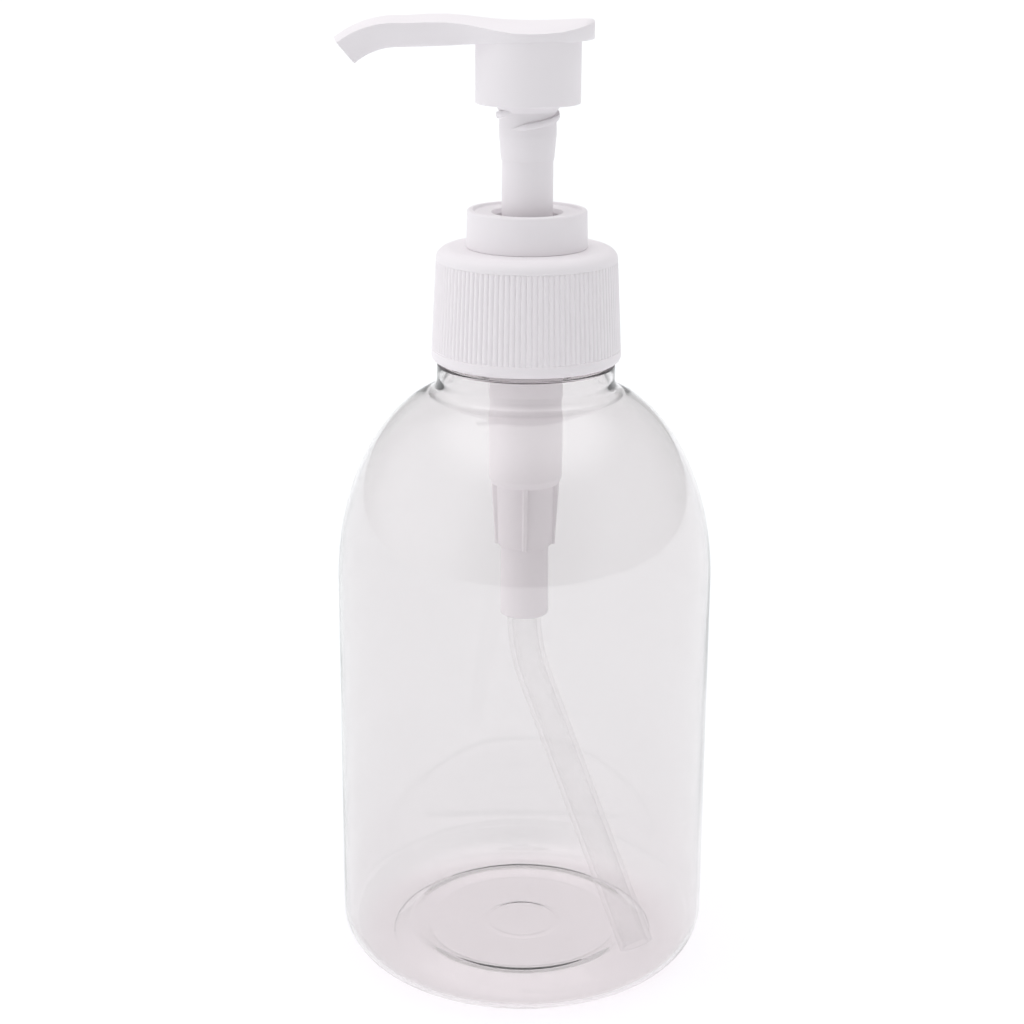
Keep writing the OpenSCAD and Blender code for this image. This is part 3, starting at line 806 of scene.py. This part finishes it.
# Slices of the plate and spout from the thumb's end to the mouth:
# distance along X, crest, edge and underside heights, half-width at the top and at the underside
SLICES = (
    (10.75, 164.5, 164.1, 161.7, 1.2, 1.0),
    (10.3, 164.75, 164.1, 161.5, 2.5, 2.2),
    (9.2, 164.8, 163.85, 161.4, 4.0, 3.7),
    (7.6, 164.75, 163.4, 161.3, 5.6, 5.4),
    (5.4, 164.6, 163.0, 161.2, 7.2, 7.1),
    (2.8, 164.5, 162.8, 161.15, 8.5, 8.4),
    (0.0, 164.45, 162.75, 161.1, 9.0, 8.9),
    (-2.8, 164.5, 162.85, 161.1, 8.6, 8.5),
    (-5.4, 164.65, 163.2, 161.05, 7.4, 7.2),
    (-7.8, 164.9, 163.6, 160.95, 6.1, 5.8),
    (-10.4, 165.2, 164.0, 160.75, 5.1, 4.7),
    (-13.2, 165.4, 164.2, 160.5, 4.4, 4.0),
    (-16.5, 165.35, 164.2, 160.35, 4.0, 3.5),
    (-20.0, 165.1, 164.0, 160.2, 3.7, 3.2),
)


CROWN = (1, 0.86, 0.68, 0.46, 0.23, 0, -0.23, -0.46, -0.68, -0.86, -1)     # places across the top
soft_most, soft_share = 0.45, 0.3    # rounding of a slice's edges: at most, and against its side's height
sag, side_sag = 0.07, 0.05       # how far the underside bows down in the middle, and halfway out
SPOUT_STEPS = 10
mouth_half_h, mouth_drop = 2.65, 1.0
mouth_half_top, mouth_half_under = 2.95, 2.5
MOUTH = ((0.0, 1.5), (-0.15, 1.4), (-2.0, 1.4), (-4.0, 1.4))    # place along the bore and its radius there


def slice_ring(x, crest, edge, under, half_top, half_under):
    """One slice in the plane across the spout: crowned top, rounded shoulders, nearly flat underside."""
    drop = crest - edge
    soft = min(soft_most, (edge - under) * soft_share, half_top * 0.5)
    top = [(half_top * k, crest - drop * k * k) for k in CROWN]
    right = [(half_under, under + soft), (half_top, edge - soft)]
    left = [(-half_top, edge - soft), (-half_under, under + soft)]
    bottom = [(-half_under + soft, under), (-half_under * 0.5, under - side_sag), (0, under - sag),
              (half_under * 0.5, under - side_sag), (half_under - soft, under)]
    return [(x, y, z) for y, z in right + top + left + bottom]


def spout_rings():
    """The drooping end of the spout, its slices turned to follow the bend."""
    _, crest, edge, under, half_top, half_under = SLICES[-1]
    rings = []
    middle = (crest + under) / 2
    for i in range(1, SPOUT_STEPS + 1):
        t = i / SPOUT_STEPS
        a = SPOUT_DROOP * t
        along = bend_x - bend_r * sin(a)
        path_z = spout_z - bend_r * (1 - cos(a))
        half_h = (crest - under) / 2 * (1 - t) + mouth_half_h * t
        drop = (crest - edge) * (1 - t) + mouth_drop * t
        ring = slice_ring(0, half_h, half_h - drop, -half_h, half_top + (mouth_half_top - half_top) * t,
                          half_under + (mouth_half_under - half_under) * t)
        shift = (middle - spout_z) * (1 - t)
        rings.append([(along - z * sin(a), y, path_z + shift + z * cos(a)) for _, y, z in ring])
    return rings


def mouth_rings(last_ring):
    """The flat rim of the mouth, and the bore behind it."""
    centre = Vector((spout_tip_x, 0, spout_z - bend_r * (1 - cos(SPOUT_DROOP))))
    out = Vector((-cos(SPOUT_DROOP), 0, -sin(SPOUT_DROOP)))
    up = Vector((-sin(SPOUT_DROOP), 0, cos(SPOUT_DROOP)))
    side = Vector((0, 1, 0))
    rings = []
    for reach, radius in MOUTH:
        ring = []
        for x, y, z in last_ring:
            spoke = Vector((x, y, z)) - centre
            a = atan2(spoke.dot(up), spoke.dot(side))
            ring.append(tuple(centre + out * reach + side * (radius * cos(a)) + up * (radius * sin(a))))
        rings.append(ring)
    return rings


def head_top_shape():
    """The thumb plate and spout in one skin, in to the end of the mouth's bore."""
    rings = [slice_ring(*s) for s in SLICES] + spout_rings()
    rings += mouth_rings(rings[-1])
    return outward(loft(rings))


skirt_wall = 1.2
skirt_sunk = 0.3                 # how far the skirt runs up into the plate
cone_tip_r, cone_tip_z = 0.3, 159.0      # top of the hollow above the stem
socket_high = 155.1              # top of the stem's socket
neck_foot_r, lock_r, sleeve_r = 4.4, 4.75, 5.35
lock_low, lock_high = 146.0, 149.8
sleeve_low, sleeve_high = 150.8, 159.6


def skirt_shape():
    """The skirt, and inside it the threaded neck that takes the stem."""
    inner_r = head_r - skirt_wall
    top = plate_low + skirt_sunk
    outline = rounded([
        (head_r, top, 0), (cone_tip_r, top, 0), (cone_tip_r, cone_tip_z, 0), (stem_r, socket_high, 0),
        (stem_r, neck_low, 0.1), (neck_foot_r, neck_low, 0.2),
        (lock_r, lock_low, 0.5), (lock_r, lock_high, 0.4),
        (sleeve_r, sleeve_low, 0.3), (sleeve_r, sleeve_high, 0.3), (inner_r, sleeve_high, 0.4),
        (inner_r, skirt_low, 0.2), (head_r, skirt_low, 0.35),
    ])
    ridges = [thread(lock_r, tip_r=5.25, root_w=lock_root_w, tip_w=lock_tip_w, lead=LOCK_LEAD,
                     start_z=147.2, heading=turn, span=200) for turn in (-130, 50)]
    return join_shapes(outward(lathe(outline)), *[outward(ridge) for ridge in ridges])


piece("pump_head", join_shapes(head_top_shape(), skirt_shape()), WHITE, "head", "white_pp", "actuator_head")


# ---------- floor, light and camera ----------

def make_floor():
    """A plain pale floor that runs on past the picture."""
    size = 6.0                   # metres from the middle to each edge
    mesh = bpy.data.meshes.new("floor")
    corners = [(-size, -size, 0), (size, -size, 0), (size, size, 0), (-size, size, 0)]
    mesh.from_pydata(corners, [], [(0, 1, 2, 3)])
    floor = bpy.data.objects.new("floor", mesh)
    bpy.context.scene.collection.objects.link(floor)
    material, nodes, links, shader = new_material("floor_paper")
    cloud = object_noise(nodes, links, scale=3, detail=2)
    two_tone(nodes, links, shader, cloud, light=(0.93, 0.944, 0.952), dark=(0.925, 0.939, 0.947))
    shader.inputs["Roughness"].default_value = 0.9
    mesh.materials.append(material)


SKY_AROUND = 0.64
SKY_TO_LEFT = 0.14
SKY_TO_BACK = 0.12
SKY_OVERHEAD = 1.7
SKY_COLOUR = (0.99, 0.99, 1.0, 1)
OVERHEAD_FROM, OVERHEAD_FULL = 0.6, 0.98     # sine of the height where its light starts, and is full
# Broad lamps and one dim patch: direction, strength, and the cosine at which each has faded out
SKY_PATCHES = (
    ((-0.80, -0.25, 0.55), 0.52, 0.5),
    ((0.80, -0.25, 0.55), 0.2, 0.5),
    ((0.05, -0.9, 0.42), -0.34, 0.55),
)


def make_sky():
    """A soft studio all round.

    It is brightest overhead, has a broad diffused lamp to either side, and is dim on the viewer's side."""
    world = bpy.data.worlds.new("studio")
    bpy.context.scene.world = world
    world.use_nodes = True
    nodes, links = world.node_tree.nodes, world.node_tree.links
    place = nodes.new("ShaderNodeTexCoord")
    parts = nodes.new("ShaderNodeSeparateXYZ")
    links.new(place.outputs["Generated"], parts.inputs["Vector"])

    def math(kind, a, b, c=None):
        node = nodes.new("ShaderNodeMath")
        node.operation = kind
        for socket, value in zip(node.inputs, (a, b, c)):
            if value is None:
                continue
            if isinstance(value, (int, float)):
                socket.default_value = value
            else:
                links.new(value, socket)
        return node.outputs[0]

    def smooth_rise(value, start, end):
        rise = nodes.new("ShaderNodeMapRange")
        rise.interpolation_type = "SMOOTHSTEP"
        rise.inputs["From Min"].default_value = start
        rise.inputs["From Max"].default_value = end
        links.new(value, rise.inputs["Value"])
        return rise.outputs["Result"]

    across = math("MULTIPLY_ADD", parts.outputs["X"], -SKY_TO_LEFT, SKY_AROUND)
    around = math("MULTIPLY_ADD", parts.outputs["Y"], SKY_TO_BACK, across)
    lift = math("SUBTRACT", SKY_OVERHEAD, around)
    overhead = smooth_rise(parts.outputs["Z"], OVERHEAD_FROM, OVERHEAD_FULL)
    strength = math("MULTIPLY_ADD", overhead, lift, around)
    for direction, extra, faded in SKY_PATCHES:
        facing = nodes.new("ShaderNodeVectorMath")
        facing.operation = "DOT_PRODUCT"
        facing.inputs[1].default_value = Vector(direction).normalized()
        links.new(place.outputs["Generated"], facing.inputs[0])
        strength = math("MULTIPLY_ADD", smooth_rise(facing.outputs["Value"], faded, 1.0), extra, strength)
    background = nodes["Background"]
    background.inputs["Color"].default_value = SKY_COLOUR
    links.new(strength, background.inputs["Strength"])


def make_camera():
    """In front of the bottle and a little higher than its head, looking down at it."""
    distance, height = 0.3344, 0.1846    # metres
    tilt, roll = radians(16.13), radians(0.43)
    data = bpy.data.cameras.new("camera")
    data.lens = 70.8
    data.sensor_width = 36
    data.shift_x, data.shift_y = -0.013, -0.038
    camera = bpy.data.objects.new("camera", data)
    bpy.context.scene.collection.objects.link(camera)
    turn = Matrix.Rotation(pi / 2 - tilt, 4, "X") @ Matrix.Rotation(roll, 4, "Z")
    camera.matrix_world = Matrix.Translation((0, -distance, height)) @ turn
    bpy.context.scene.camera = camera


make_floor()
make_sky()
make_camera()
bpy.context.scene.view_settings.view_transform = "Standard"
